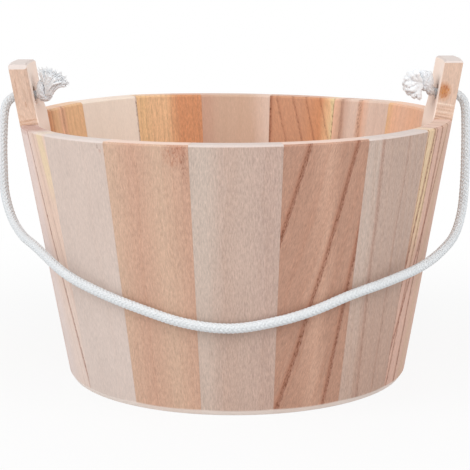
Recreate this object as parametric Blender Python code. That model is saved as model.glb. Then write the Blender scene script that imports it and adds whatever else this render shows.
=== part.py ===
"""A low wooden sauna bucket: glued and pinned staves, a boarded bottom and a rope handle.

Metres, +Z up. The origin is in the middle of the foot, on the surface the bucket stands on.
The two ear staves stand at -X and +X, and the rope hangs in front, towards -Y.
"""
import bpy
import bmesh
from math import asin, atan, cos, pi, radians, sin, sqrt
from mathutils import Matrix, Vector

# Tub
STAVES_PER_SIDE = 7
RIM_RADIUS = 0.140
FOOT_RADIUS = 0.111
BODY_HEIGHT = 0.169
WALL = 0.012
RIM_CHAMFER = 0.0012
FOOT_CHAMFER_RISE = 0.0034
FOOT_CHAMFER_DEPTH = 0.0018
JOINT_GAP = 0.0003
FACETS_PER_STAVE = 4

# Ear staves
POST_WIDTH = 0.043
POST_RISE = 0.0365
SHOULDER_RISE = 0.014
POST_CORNER = 0.0022
HOLE_RISE = 0.014

# Pins between the staves
PIN_DIAMETER = 0.004
PIN_LENGTH = 0.024
PIN_HEIGHT = 0.095
PIN_FIT = 0.0003

# Bottom boards in their groove, and the dowels between them
BOARD_COUNT = 4
BOARD_THICKNESS = 0.010
BOARD_HEIGHT = 0.015
GROOVE_DEPTH = 0.004
BOARD_FIT = 0.0003
DOWEL_DIAMETER = 0.005
DOWEL_LENGTH = 0.026
DOWEL_OFFSET = 0.045

# Rope handle
ROPE_DIAMETER = 0.006
ROPE_PLAY = 0.001
ROPE_SIDES_RESOLUTION = 3
ROPE_STEPS_PER_SPAN = 2
KNOT_RADIUS = 0.0070
KNOT_LIFT = 0.0030
KNOT_GAP = 0.0003
KNOT_WRAPS = ((12, 78), (-58, 62), (58, 40))  # tilt and turn of each wrap, degrees
TAIL_GAP = 0.0003
LEFT_TAIL_LENGTH = 0.0145
LEFT_TAIL_TIP_RADIUS = 0.0080
LEFT_TAIL_ANGLE = 42.0
RIGHT_TAIL_LENGTH = 0.0110
RIGHT_TAIL_TIP_RADIUS = 0.0078
RIGHT_TAIL_ANGLE = -18.0
TAIL_YARNS = 9
TAIL_YARN_DEPTH = 0.10
TAIL_NECK_SHARE = 0.3
# Share of the length and share of the width: up to the neck of the rope's width, past it of the tip's
TAIL_SHAPE = (
    (0.0, 0.0), (0.0, 0.9), (0.12, 0.92), (0.35, 0.55), (0.62, 0.82), (0.85, 1.0), (0.96, 0.9), (1.0, 0.0))

# What follows from the sizes above
STAVE_COUNT = 2 * (STAVES_PER_SIDE + 1)
STAVE_ANGLE = 2 * pi / STAVE_COUNT
TAPER = (RIM_RADIUS - FOOT_RADIUS) / BODY_HEIGHT
LEAN = atan(TAPER)
AXIS_HEIGHT = BODY_HEIGHT + HOLE_RISE
POST_TOP = BODY_HEIGHT + POST_RISE
ROPE_RADIUS = ROPE_DIAMETER / 2
HOLE_RADIUS = ROPE_RADIUS + ROPE_PLAY + WALL / 2 * TAPER

# The free stretch of the rope, from the left hole round the front to the right one.
# Points are chosen along the hanging rope: x, y and the height above the foot.
ROPE_ROUTE = (
    (-0.1395, 0.0000, 0.1830),
    (-0.1449, 0.0000, 0.1816),
    (-0.1489, -0.0003, 0.1776),
    (-0.1504, -0.0014, 0.1722),
    (-0.1512, -0.0050, 0.1590),
    (-0.1513, -0.0085, 0.1410),
    (-0.1502, -0.0120, 0.1210),
    (-0.1455, -0.0190, 0.1065),
    (-0.1370, -0.0350, 0.0978),
    (-0.1260, -0.0545, 0.0937),
    (-0.1046, -0.0810, 0.0818),
    (-0.0840, -0.0980, 0.0748),
    (-0.0580, -0.1128, 0.0677),
    (-0.0300, -0.1215, 0.0606),
    (-0.0030, -0.1247, 0.0582),
    (0.0250, -0.1229, 0.0621),
    (0.0450, -0.1180, 0.0669),
    (0.0680, -0.1086, 0.0742),
    (0.0920, -0.0924, 0.0789),
    (0.1150, -0.0700, 0.0834),
    (0.1310, -0.0470, 0.0893),
    (0.1416, -0.0245, 0.0960),
    (0.1466, -0.0140, 0.1080),
    (0.1483, -0.0110, 0.1230),
    (0.1492, -0.0075, 0.1460),
    (0.1495, -0.0035, 0.1620),
    (0.1493, -0.0008, 0.1732),
    (0.1480, 0.0000, 0.1781),
    (0.1444, 0.0000, 0.1817),
    (0.1395, 0.0000, 0.1830),
)


def outer_radius(height):
    """Radius of the tub's outside at a height; the ear posts lean out along the same cone."""
    return FOOT_RADIUS + TAPER * height


def inner_radius(height):
    return outer_radius(height) - WALL


def wood(name, colour, roughness=0.62):
    """A plain Principled material in one of the bucket's own colours."""
    material = bpy.data.materials.new(name)
    material.use_nodes = True
    shader = material.node_tree.nodes["Principled BSDF"]
    shader.inputs["Base Color"].default_value = (*colour, 1.0)
    shader.inputs["Roughness"].default_value = roughness
    shader.inputs["Metallic"].default_value = 0.0
    material.diffuse_color = (*colour, 1.0)
    return material


def clear_scene():
    for existing in list(bpy.data.objects):
        bpy.data.objects.remove(existing, do_unlink=True)


def add_object(name, mesh, material=None, parent=None):
    made = bpy.data.objects.new(name, mesh)
    bpy.context.collection.objects.link(made)
    if material is not None:
        mesh.materials.clear()
        mesh.materials.append(material)
    made.parent = parent
    return made


def finish_mesh(name, bm):
    """Turn the bmesh into a mesh with its faces pointing out and its round faces smooth."""
    bmesh.ops.recalc_face_normals(bm, faces=bm.faces)
    mesh = bpy.data.meshes.new(name)
    bm.to_mesh(mesh)
    bm.free()
    mesh.shade_smooth()
    mesh.set_sharp_from_angle(angle=radians(28))
    return mesh


def cut_mesh(name, mesh, cutters, operation="DIFFERENCE"):
    """Cut or join a mesh with others, one after another, and return the result as one mesh."""
    body = add_object(name + "_blank", mesh)
    tools = []
    for number, cutter_mesh in enumerate(cutters):
        tool = add_object(f"{name}_cutter_{number}", cutter_mesh)
        tool.hide_render = True
        tool.display_type = "WIRE"
        modifier = body.modifiers.new(f"cut_{number}", "BOOLEAN")
        modifier.operation = operation
        modifier.solver = "EXACT"
        modifier.object = tool
        tools.append(tool)
    depsgraph = bpy.context.evaluated_depsgraph_get()
    result = bpy.data.meshes.new_from_object(body.evaluated_get(depsgraph))
    result.name = name
    result.materials.clear()
    for used in [body, *tools]:
        bpy.data.objects.remove(used, do_unlink=True)
    result.shade_smooth()
    result.set_sharp_from_angle(angle=radians(28))
    return result


def rod_mesh(name, radius, length, placing, sides=12):
    """A round rod centred on the origin of its placing, lying along that placing's Z."""
    bm = bmesh.new()
    bmesh.ops.create_cone(
        bm, cap_ends=True, segments=sides, radius1=radius, radius2=radius, depth=length, matrix=placing)
    return finish_mesh(name, bm)


def prism_mesh(name, outline, low, high, to_world):
    """An outline of 2-D points pushed from low to high, each corner placed by to_world."""
    bm = bmesh.new()
    near = [bm.verts.new(to_world(point, low)) for point in outline]
    far = [bm.verts.new(to_world(point, high)) for point in outline]
    bm.faces.new(near)
    bm.faces.new(list(reversed(far)))
    for index in range(len(outline)):
        follow = (index + 1) % len(outline)
        bm.faces.new((near[index], near[follow], far[follow], far[index]))
    return finish_mesh(name, bm)


# Staves


def wall_profile(top):
    """The wall cut through its middle, as radius and height, up the outside and down the inside."""
    groove_low = BOARD_HEIGHT - BOARD_FIT
    groove_high = BOARD_HEIGHT + BOARD_THICKNESS + BOARD_FIT
    groove_radius = inner_radius(BOARD_HEIGHT) + GROOVE_DEPTH
    return (
        (outer_radius(0) - FOOT_CHAMFER_DEPTH, 0.0),
        (outer_radius(FOOT_CHAMFER_RISE), FOOT_CHAMFER_RISE),
        (outer_radius(top - RIM_CHAMFER), top - RIM_CHAMFER),
        (outer_radius(top) - RIM_CHAMFER, top),
        (inner_radius(top) + RIM_CHAMFER, top),
        (inner_radius(top - RIM_CHAMFER), top - RIM_CHAMFER),
        (inner_radius(groove_high), groove_high),
        (groove_radius, groove_high),
        (groove_radius, groove_low),
        (inner_radius(groove_low), groove_low),
        (inner_radius(0), 0.0),
    )


def stave_blank(name, top):
    """One stave before its pin holes, centred on +X: the wall profile swept through its share."""
    bm = bmesh.new()
    stations = []
    for step in range(FACETS_PER_STAVE + 1):
        share = 2 * step / FACETS_PER_STAVE - 1
        ring = []
        for radius, height in wall_profile(top):
            angle = share * (STAVE_ANGLE / 2 - asin(JOINT_GAP / 2 / radius))
            ring.append(bm.verts.new((radius * cos(angle), radius * sin(angle), height)))
        stations.append(ring)
    for ring, following in zip(stations, stations[1:]):
        for index in range(len(ring)):
            after = (index + 1) % len(ring)
            bm.faces.new((ring[index], ring[after], following[after], following[index]))
    bm.faces.new(stations[0])
    bm.faces.new(list(reversed(stations[-1])))
    return finish_mesh(name, bm)


def joint_placing(joint_angle, height):
    """Middle of the wall at a joint between two staves, with Z square to the joint."""
    radius = outer_radius(height) - WALL / 2
    place = Matrix.Rotation(joint_angle, 4, "Z") @ Matrix.Translation((radius, 0, height))
    return place @ Matrix.Rotation(pi / 2, 4, "X")


def pin_hole_cutters():
    radius = PIN_DIAMETER / 2 + PIN_FIT
    length = PIN_LENGTH + 2 * PIN_FIT
    cutters = []
    for side in (-1, 1):
        placing = joint_placing(side * STAVE_ANGLE / 2, PIN_HEIGHT)
        cutters.append(rod_mesh("pin_hole", radius, length, placing))
    return cutters


def arc_points(centre, radii, start, end, steps):
    """Points of an elliptic arc in the outline's plane, angles in degrees."""
    points = []
    for step in range(steps + 1):
        angle = radians(start + (end - start) * step / steps)
        points.append((centre[0] + radii[0] * cos(angle), centre[1] + radii[1] * sin(angle)))
    return points


def ear_outline():
    """Front view of an ear stave: full width up to the rim, a hollow shoulder, then the post."""
    half_post = POST_WIDTH / 2
    half_stave = RIM_RADIUS * sin(STAVE_ANGLE / 2)
    beyond = half_stave + WALL
    shoulder = half_stave - half_post
    right = [(beyond, -WALL), (beyond, BODY_HEIGHT)]
    shoulder_centre = (half_stave, BODY_HEIGHT + SHOULDER_RISE)
    right += arc_points(shoulder_centre, (shoulder, SHOULDER_RISE), 270, 180, 6)
    corner_centre = (half_post - POST_CORNER, POST_TOP - POST_CORNER)
    right += arc_points(corner_centre, (POST_CORNER, POST_CORNER), 0, 90, 3)[:-1]
    right.append((half_post - POST_CORNER, POST_TOP + WALL))
    left = [(-across, height) for across, height in reversed(right)]
    return right + left


def rope_hole_cutter():
    """The hole for the rope, bored square to the leaning post in the middle of its width."""
    middle = outer_radius(AXIS_HEIGHT) - WALL / 2
    placing = Matrix.Translation((middle, 0, AXIS_HEIGHT)) @ Matrix.Rotation(pi / 2 + LEAN, 4, "Y")
    return rod_mesh("rope_hole", HOLE_RADIUS, 3 * WALL, placing, sides=24)


def ear_mesh():
    """The ear stave, centred on +X."""
    blank = stave_blank("ear", POST_TOP)
    shape = prism_mesh(
        "ear_shape", ear_outline(), FOOT_RADIUS / 2, RIM_RADIUS + BODY_HEIGHT,
        lambda point, depth: (depth, point[0], point[1]))
    shaped = cut_mesh("ear_shaped", blank, [shape], "INTERSECT")
    return cut_mesh("ear_stave", shaped, [*pin_hole_cutters(), rope_hole_cutter()])


def make_staves(finishes, tub):
    plain = cut_mesh("stave", stave_blank("plain", BODY_HEIGHT), pin_hole_cutters())
    for side, first_angle, direction in (("front", pi, 1), ("back", pi, -1)):
        for number in range(1, STAVES_PER_SIDE + 1):
            finish = finishes["heart"] if number % 2 else finishes["sap"]
            stave = add_object(f"{side}_stave_{number}", plain.copy(), finish, tub)
            stave.rotation_euler.z = first_angle + direction * number * STAVE_ANGLE
    ear = ear_mesh()
    for side, angle in (("left", pi), ("right", 0)):
        stave = add_object(f"ear_stave_{side}", ear.copy(), finishes["ear"], tub)
        stave.rotation_euler.z = angle


def make_pins(finish, tub):
    """One bamboo pin across each joint between two staves."""
    pin = rod_mesh("stave_pin", PIN_DIAMETER / 2, PIN_LENGTH, Matrix.Identity(4))
    for number in range(STAVE_COUNT):
        made = add_object(f"stave_pin_{number + 1:02d}", pin.copy(), finish, tub)
        made.matrix_local = joint_placing((number + 0.5) * STAVE_ANGLE, PIN_HEIGHT)


# Bottom


def bottom_outline():
    """The round bottom as a polygon whose corners face the corners of the groove."""
    radius = inner_radius(BOARD_HEIGHT) + GROOVE_DEPTH - BOARD_FIT
    corners = STAVE_COUNT * FACETS_PER_STAVE
    return [(radius * cos(2 * pi * k / corners), radius * sin(2 * pi * k / corners)) for k in range(corners)]


def clip_outline(outline, limit, side):
    """Keep the part of an outline whose second coordinate is past a limit, on one side."""
    kept = []
    for index, point in enumerate(outline):
        previous = outline[index - 1]
        inside = side * (point[1] - limit) > 0
        was_inside = side * (previous[1] - limit) > 0
        if inside != was_inside:
            share = (limit - previous[1]) / (point[1] - previous[1])
            kept.append((previous[0] + share * (point[0] - previous[0]), limit))
        if inside:
            kept.append(point)
    return kept


def dowel_placing(across, joint):
    place = Matrix.Translation((across, joint, BOARD_HEIGHT + BOARD_THICKNESS / 2))
    return place @ Matrix.Rotation(pi / 2, 4, "X")


def board_joints():
    half = inner_radius(BOARD_HEIGHT) + GROOVE_DEPTH
    return [half * (2 * number / BOARD_COUNT - 1) for number in range(1, BOARD_COUNT)]


def make_bottom(board_finish, dowel_finish, tub):
    """Boards that run left to right, from the front to the back, with two dowels in each joint."""
    joints = board_joints()
    edges = [-RIM_RADIUS, *joints, RIM_RADIUS]
    dowels = [(side * DOWEL_OFFSET, joint) for joint in joints for side in (-1, 1)]
    hole_radius = DOWEL_DIAMETER / 2 + BOARD_FIT
    hole_length = DOWEL_LENGTH + 2 * BOARD_FIT
    for number in range(BOARD_COUNT):
        outline = clip_outline(bottom_outline(), edges[number] + JOINT_GAP / 2, 1)
        outline = clip_outline(outline, edges[number + 1] - JOINT_GAP / 2, -1)
        blank = prism_mesh(
            "board", outline, BOARD_HEIGHT, BOARD_HEIGHT + BOARD_THICKNESS,
            lambda point, height: (point[0], point[1], height))
        own_dowels = [dowel for dowel in dowels if dowel[1] in edges[number:number + 2]]
        cutters = [
            rod_mesh("dowel_hole", hole_radius, hole_length, dowel_placing(*dowel)) for dowel in own_dowels]
        mesh = cut_mesh(f"bottom_board_{number + 1}", blank, cutters)
        add_object(f"bottom_board_{number + 1}", mesh, board_finish, tub)
    dowel_mesh = rod_mesh("bottom_dowel", DOWEL_DIAMETER / 2, DOWEL_LENGTH, Matrix.Identity(4))
    for number, dowel in enumerate(dowels):
        made = add_object(f"bottom_dowel_{number + 1}", dowel_mesh.copy(), dowel_finish, tub)
        made.matrix_local = dowel_placing(*dowel)


# Rope handle, in world coordinates until it is hung on its axis


def smooth_through(points, steps):
    """A centripetal Catmull-Rom curve through the points, with so many steps for each span."""
    points = [Vector(point) for point in points]
    padded = [2 * points[0] - points[1], *points, 2 * points[-1] - points[-2]]
    curve = []
    for a, b, c, d in zip(padded, padded[1:], padded[2:], padded[3:]):
        knot_b = sqrt((b - a).length)
        knot_c = knot_b + sqrt((c - b).length)
        knot_d = knot_c + sqrt((d - c).length)
        for step in range(steps):
            t = knot_b + (knot_c - knot_b) * step / steps
            ab = a.lerp(b, t / knot_b)
            bc = b.lerp(c, (t - knot_b) / (knot_c - knot_b))
            cd = c.lerp(d, (t - knot_c) / (knot_d - knot_c))
            abc = ab.lerp(bc, t / knot_c)
            bcd = bc.lerp(cd, (t - knot_b) / (knot_d - knot_b))
            curve.append(abc.lerp(bcd, (t - knot_b) / (knot_c - knot_b)))
    curve.append(points[-1])
    return curve


def knot_centre(side):
    """Middle of a knot: as close to the post's inner face as it can swing round without touching."""
    standoff = (KNOT_RADIUS + KNOT_GAP + KNOT_LIFT * sin(LEAN)) / cos(LEAN)
    return Vector((side * (inner_radius(AXIS_HEIGHT) - standoff), 0, AXIS_HEIGHT + KNOT_LIFT))


def rope_end(side):
    """Where the straight rope inside the hole stops, short of the knot."""
    return (knot_centre(side).x + side * (KNOT_RADIUS + KNOT_GAP), 0, AXIS_HEIGHT)


def make_rope(finish, handle):
    curve = bpy.data.curves.new("handle_rope", "CURVE")
    curve.dimensions = "3D"
    curve.bevel_depth = ROPE_RADIUS
    curve.bevel_resolution = ROPE_SIDES_RESOLUTION
    curve.use_fill_caps = True
    points = smooth_through([rope_end(-1), *ROPE_ROUTE, rope_end(1)], ROPE_STEPS_PER_SPAN)
    spline = curve.splines.new("POLY")
    spline.points.add(len(points) - 1)
    for target, point in zip(spline.points, points):
        target.co = (*(point - handle.location), 1.0)
    curve.materials.append(finish)
    rope = bpy.data.objects.new("handle_rope", curve)
    bpy.context.collection.objects.link(rope)
    rope.parent = handle


def ring_mesh(name, placing, major, minor, steps=24, sides=10):
    bm = bmesh.new()
    rings = []
    for step in range(steps):
        turn = Matrix.Rotation(2 * pi * step / steps, 4, "Z")
        ring = []
        for corner in range(sides):
            angle = 2 * pi * corner / sides
            point = Vector((major + minor * cos(angle), 0, minor * sin(angle)))
            ring.append(bm.verts.new(placing @ turn @ point))
        rings.append(ring)
    for index in range(steps):
        ring, following = rings[index], rings[(index + 1) % steps]
        for corner in range(sides):
            after = (corner + 1) % sides
            bm.faces.new((ring[corner], ring[after], following[after], following[corner]))
    return finish_mesh(name, bm)


def make_knot(name, side, finish, handle):
    """An overhand knot pulled tight: three wraps of the rope that cross over a full middle."""
    centre = knot_centre(side) - handle.location
    place = Matrix.Translation(centre)
    bm = bmesh.new()
    bmesh.ops.create_icosphere(bm, subdivisions=2, radius=KNOT_RADIUS - ROPE_RADIUS / 2, matrix=place)
    core = finish_mesh("knot_core", bm)
    wraps = []
    for tilt, turn in KNOT_WRAPS:
        pose = place @ Matrix.Rotation(radians(side * turn), 4, "Y") @ Matrix.Rotation(radians(tilt), 4, "X")
        wraps.append(ring_mesh("knot_wrap", pose, KNOT_RADIUS - ROPE_RADIUS, ROPE_RADIUS))
    add_object(name, cut_mesh(name, core, wraps, "UNION"), finish, handle)


def make_tail(name, side, length, tip_radius, angle, finish, handle):
    """The frayed end of the rope past its knot: a bundle of yarns that opens towards its tip."""
    direction = Vector((-side * cos(radians(angle)), 0, sin(radians(angle))))
    root = knot_centre(side) - handle.location + direction * (KNOT_RADIUS + TAIL_GAP)
    across = Vector((0, 1, 0))
    up = direction.cross(across)
    corners = 4 * TAIL_YARNS
    bm = bmesh.new()
    rings = []
    for share, width in TAIL_SHAPE:
        if width == 0.0:
            rings.append([bm.verts.new(root + direction * length * share)])
            continue
        radius = (ROPE_RADIUS if share < TAIL_NECK_SHARE else tip_radius) * width
        depth = TAIL_YARN_DEPTH * share
        ring = []
        for corner in range(corners):
            turn = 2 * pi * corner / corners
            swell = radius * (1 - depth + depth * cos(TAIL_YARNS * turn))
            offset = across * swell * cos(turn) + up * swell * sin(turn)
            ring.append(bm.verts.new(root + direction * length * share + offset))
        rings.append(ring)
    for ring, following in zip(rings, rings[1:]):
        for corner in range(corners):
            after = (corner + 1) % corners
            if len(ring) == 1:
                bm.faces.new((ring[0], following[corner], following[after]))
            elif len(following) == 1:
                bm.faces.new((ring[corner], following[0], ring[after]))
            else:
                bm.faces.new((ring[corner], following[corner], following[after], ring[after]))
    add_object(name, finish_mesh(name, bm), finish, handle)


def build():
    clear_scene()
    finishes = {
        "sap": wood("pale_sapwood", (0.70, 0.56, 0.47)),
        "heart": wood("orange_heartwood", (0.71, 0.45, 0.31)),
        "ear": wood("pink_ear_wood", (0.73, 0.52, 0.42)),
    }
    board_finish = wood("bottom_wood", (0.66, 0.47, 0.34))
    pin_finish = wood("bamboo", (0.72, 0.60, 0.38), 0.5)
    cotton = wood("white_cotton", (0.86, 0.87, 0.88), 0.9)

    tub = bpy.data.objects.new("tub", None)
    bpy.context.collection.objects.link(tub)
    handle = bpy.data.objects.new("handle", None)
    bpy.context.collection.objects.link(handle)
    handle.location = (0, 0, AXIS_HEIGHT)

    make_staves(finishes, tub)
    make_pins(pin_finish, tub)
    make_bottom(board_finish, pin_finish, tub)
    make_rope(cotton, handle)
    make_knot("rope_knot_left", -1, cotton, handle)
    make_knot("rope_knot_right", 1, cotton, handle)
    make_tail("rope_end_left", -1, LEFT_TAIL_LENGTH, LEFT_TAIL_TIP_RADIUS, LEFT_TAIL_ANGLE, cotton, handle)
    make_tail("rope_end_right", 1, RIGHT_TAIL_LENGTH, RIGHT_TAIL_TIP_RADIUS, RIGHT_TAIL_ANGLE, cotton, handle)


build()
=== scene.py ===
"""Looks of the sauna bucket: planed staves with their own grain, and a braided, knotted rope.

Metres, +Z up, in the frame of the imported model. Sizes of the grain are in millimetres.
"""

from math import atan, cos, pi, radians, sin, sqrt

import bmesh
import bpy
from mathutils import Matrix, Vector


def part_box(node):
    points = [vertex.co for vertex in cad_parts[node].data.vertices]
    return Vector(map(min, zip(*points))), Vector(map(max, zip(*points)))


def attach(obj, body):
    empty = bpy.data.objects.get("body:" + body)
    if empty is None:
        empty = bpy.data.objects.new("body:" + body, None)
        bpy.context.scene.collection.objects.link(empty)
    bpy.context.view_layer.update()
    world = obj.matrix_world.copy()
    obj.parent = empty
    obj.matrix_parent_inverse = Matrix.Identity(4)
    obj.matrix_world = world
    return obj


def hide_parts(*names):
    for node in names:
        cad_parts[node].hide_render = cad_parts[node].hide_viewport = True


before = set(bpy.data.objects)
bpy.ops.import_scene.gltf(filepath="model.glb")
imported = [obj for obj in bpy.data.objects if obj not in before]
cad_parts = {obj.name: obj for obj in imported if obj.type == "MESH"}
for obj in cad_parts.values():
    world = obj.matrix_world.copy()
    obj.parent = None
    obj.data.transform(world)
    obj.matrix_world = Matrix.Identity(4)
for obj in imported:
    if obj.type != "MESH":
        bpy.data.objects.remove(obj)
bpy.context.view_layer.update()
MILLIMETRES = 1000

# Tub, as the solids have it
STAVE_COUNT = 16
STAVE_ANGLE = 2 * pi / STAVE_COUNT
RIM_RADIUS = 0.140
FOOT_RADIUS = 0.111
WALL = 0.012
BODY_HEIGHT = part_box("front_stave_4")[1].z
POST_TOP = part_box("ear_stave_right")[1].z
BOARD_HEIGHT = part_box("bottom_board_2")[0].z
BOARD_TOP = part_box("bottom_board_2")[1].z
GROOVE_DEPTH = 0.004
BOARD_FIT = 0.0003
TAPER = (RIM_RADIUS - FOOT_RADIUS) / BODY_HEIGHT
LEAN = atan(TAPER)
HALF_STAVE = RIM_RADIUS * sin(STAVE_ANGLE / 2)

# Edges of the staves
RIM_CHAMFER = 0.0012
FOOT_CHAMFER_RISE = 0.0034
FOOT_CHAMFER_DEPTH = 0.0018
EDGE_ROUND = 0.0006
JOINT_GAP = 0.00002
JOINT_ROUND = 0.00006
STAVE_STEPS = 12

# How many millimetres the rim stands below its planned height at each joint, as the photo shows it,
# and the heights between which the staves start to follow that
RIM_DIPS = (0.0, 0.2, 1.4, 1.0, 0.0, -1.3, -1.0, -0.6, 2.2, 1.4, 0.5, 0.0, 0.0, 0.0, 0.0, 0.0)
DIP_HEIGHTS = (0.15, 0.166)

# Ear staves
POST_WIDTH = 0.043
SHOULDER_RISE = 0.014
SHOULDER_STEPS = 14
POST_ROUND = 0.0009
FRONT_CORNER = {"left": 0.0028, "right": 0.0011}
BACK_CORNER = 0.0010
LEFT_EAR_SHORTER = 0.0010
AXIS_HEIGHT = 0.183
HOLE_RADIUS = 0.00503
HOLE_SIDES = 40

# Each ear's side, azimuth, the end of its width that faces the front, and its height
EARS = (("left", pi, 1, POST_TOP - LEFT_EAR_SHORTER), ("right", 0.0, -1, POST_TOP))

# The rounding of each post's inner front edge
INNER_ROUND = {"left": 0.0026, "right": 0.0010}
INNER_ROUND_LEAST = 0.00012
INNER_ROUND_START = 0.0015
INNER_ROUND_STEPS = 16
QUARTER_STEPS = 6
CUTTER_CLEARANCE = 0.002

# Cleaning and easing of the ears' edges
MERGE_DISTANCE = 0.00001
FLAT_ANGLE = radians(0.5)
SHARP_ANGLE = radians(30)
EASED_ANGLE = radians(40)
POST_STARTS_ABOVE_RIM = 0.0004
POST_MARGIN = 0.004

# Rope
ROPE_DIAMETER = 0.006
ROPE_RADIUS = ROPE_DIAMETER / 2
KNOT_RADIUS = 0.0070
KNOT_LIFT = 0.0030
KNOT_GAP = 0.0003
BRAID_STRANDS = 16
BRAID_LAY = 0.021
STRAND_WIDTH = 0.00205
STRAND_THICKNESS = 0.00085
STRAND_STEP = 0.0009
BRAID_DEPTH = 0.00022
CORE_INSET = 1.1
CORE_SIDES = 8
STRAND_SIDES = 6
YARN_SIDES = 5
CURVE_STEPS = 8

# The twist along each strand: its plies, their turns in a metre, how fine its fluff and patches are,
# how far the twist is shifted from one strand or yarn to the next, and the twist's length along a yarn
PLIES = 3.0
PLY_TURNS = 620.0
FLUFF_SCALE = 2600.0
PATCH_SCALE = 160.0
STRAND_SHIFT = 0.0137
YARN_SHIFT = 0.0171
YARN_TWIST = 0.013

# A frayed end: how far a yarn's bend is drawn to its tip, and the balls along it that melt to a soft core
TIP_PULL = 0.45
BALLS = 14
BALL_VOXEL = 0.0004

# Between what each yarn is drawn: its place in the fan, its share of the length at most, its place in the
# root, its thickness, and the speed and phase of its waves; and how far and how late it tapers
FAN_SCATTER = (-2.5, 2.5)
LONGEST = 1.05
ROOT_SCATTER = (-0.8, 0.8)
YARN_THICKNESS = (0.8, 1.2)
WAVE_SPEED = (6.0, 11.0)
WAVE_PHASE = (0.0, 6.0)
TIP_TAPER = 0.5
TAPER_POWER = 6

# The rope's middle line from hole to hole, as in the solids
ROPE_ROUTE = (
    (-0.1395, 0.0000, 0.1830), (-0.1449, 0.0000, 0.1816), (-0.1489, -0.0003, 0.1776),
    (-0.1504, -0.0014, 0.1722), (-0.1512, -0.0050, 0.1590), (-0.1513, -0.0085, 0.1410),
    (-0.1502, -0.0120, 0.1210), (-0.1455, -0.0190, 0.1065), (-0.1370, -0.0350, 0.0978),
    (-0.1260, -0.0545, 0.0937), (-0.1046, -0.0810, 0.0818), (-0.0840, -0.0980, 0.0748),
    (-0.0580, -0.1128, 0.0677), (-0.0300, -0.1215, 0.0606), (-0.0030, -0.1247, 0.0582),
    (0.0250, -0.1229, 0.0621), (0.0450, -0.1180, 0.0669), (0.0680, -0.1086, 0.0742),
    (0.0920, -0.0924, 0.0789), (0.1150, -0.0700, 0.0834), (0.1310, -0.0470, 0.0893),
    (0.1416, -0.0245, 0.0960), (0.1466, -0.0140, 0.1080), (0.1483, -0.0110, 0.1230),
    (0.1492, -0.0075, 0.1460), (0.1495, -0.0035, 0.1620), (0.1493, -0.0008, 0.1732),
    (0.1480, 0.0000, 0.1781), (0.1444, 0.0000, 0.1817), (0.1395, 0.0000, 0.1830),
)

# Camera, a metre in front of the bucket, a little above its rim; angles in degrees, lens in millimetres
CAMERA_PLACE = (0, -1.0461, 0.2966)
CAMERA_PITCH = 11.19
CAMERA_YAW = -0.05
CAMERA_ROLL = -0.314
CAMERA_LENS = 123.6
SENSOR_WIDTH = 36

# Floor and light. The floor shows the camera a share of white near the bucket and plain white further out.
# Each lamp has its name, place, size across and power.
WHITE = (1, 1, 1, 1)
FLOOR_HALF = 8
FLOOR_COLOUR = (0.75, 0.75, 0.75, 1)
FLOOR_WHITENESS = 0.86
SHADOW_REACH = (0.16, 0.5)
WORLD_LIGHT = 0.61
LAMPS = (
    ("key", (-1.3, -0.8, 1.1), 1.4, 14),
    ("fill", (1.3, -0.8, 1.1), 1.4, 11),
    ("front", (0.0, -1.5, 1.2), 1.2, 6.5),
)
LAMP_AIM = Vector((0, 0, 0.09))


# Camera


def new_object(name, data):
    """A new object with the data, in the scene."""
    made = bpy.data.objects.new(name, data)
    bpy.context.scene.collection.objects.link(made)
    return made


def make_camera():
    """A long lens that looks down at the bucket, as in the photo."""
    pitch = radians(CAMERA_PITCH)
    yaw = radians(CAMERA_YAW)
    roll = radians(CAMERA_ROLL)
    forward = Vector((sin(yaw) * cos(pitch), cos(yaw) * cos(pitch), -sin(pitch)))
    level = Vector((cos(yaw), -sin(yaw), 0))
    upright = level.cross(forward)
    right = cos(roll) * level + sin(roll) * upright
    up = cos(roll) * upright - sin(roll) * level
    data = bpy.data.cameras.new("camera")
    data.lens = CAMERA_LENS
    data.sensor_width = SENSOR_WIDTH
    data.clip_end = 50
    turn = Matrix((right, up, -forward)).transposed()
    camera = new_object("camera", data)
    camera.matrix_world = Matrix.Translation(CAMERA_PLACE) @ turn.to_4x4()
    bpy.context.scene.camera = camera


make_camera()


# Node trees


class Socket:
    """One output of a node, which can be used in a formula like a number."""

    def __init__(self, nodes, output):
        self.nodes = nodes
        self.output = output

    def other(self, name):
        """Another output of the same node."""
        return Socket(self.nodes, self.output.node.outputs[name])

    def at_least(self, least):
        """A field from 0 to 1, raised so that 0 becomes the least and 1 stays."""
        return self * (1 - least) + least

    def __add__(self, value):
        return self.nodes.maths("ADD", self, value)

    __radd__ = __add__

    def __mul__(self, value):
        return self.nodes.maths("MULTIPLY", self, value)

    __rmul__ = __mul__

    def __sub__(self, value):
        return self.nodes.maths("SUBTRACT", self, value)

    def __rsub__(self, value):
        return self.nodes.maths("SUBTRACT", value, self)

    def __truediv__(self, value):
        return self.nodes.maths("DIVIDE", self, value)

    def __pow__(self, value):
        return self.nodes.maths("POWER", self, value)


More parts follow.
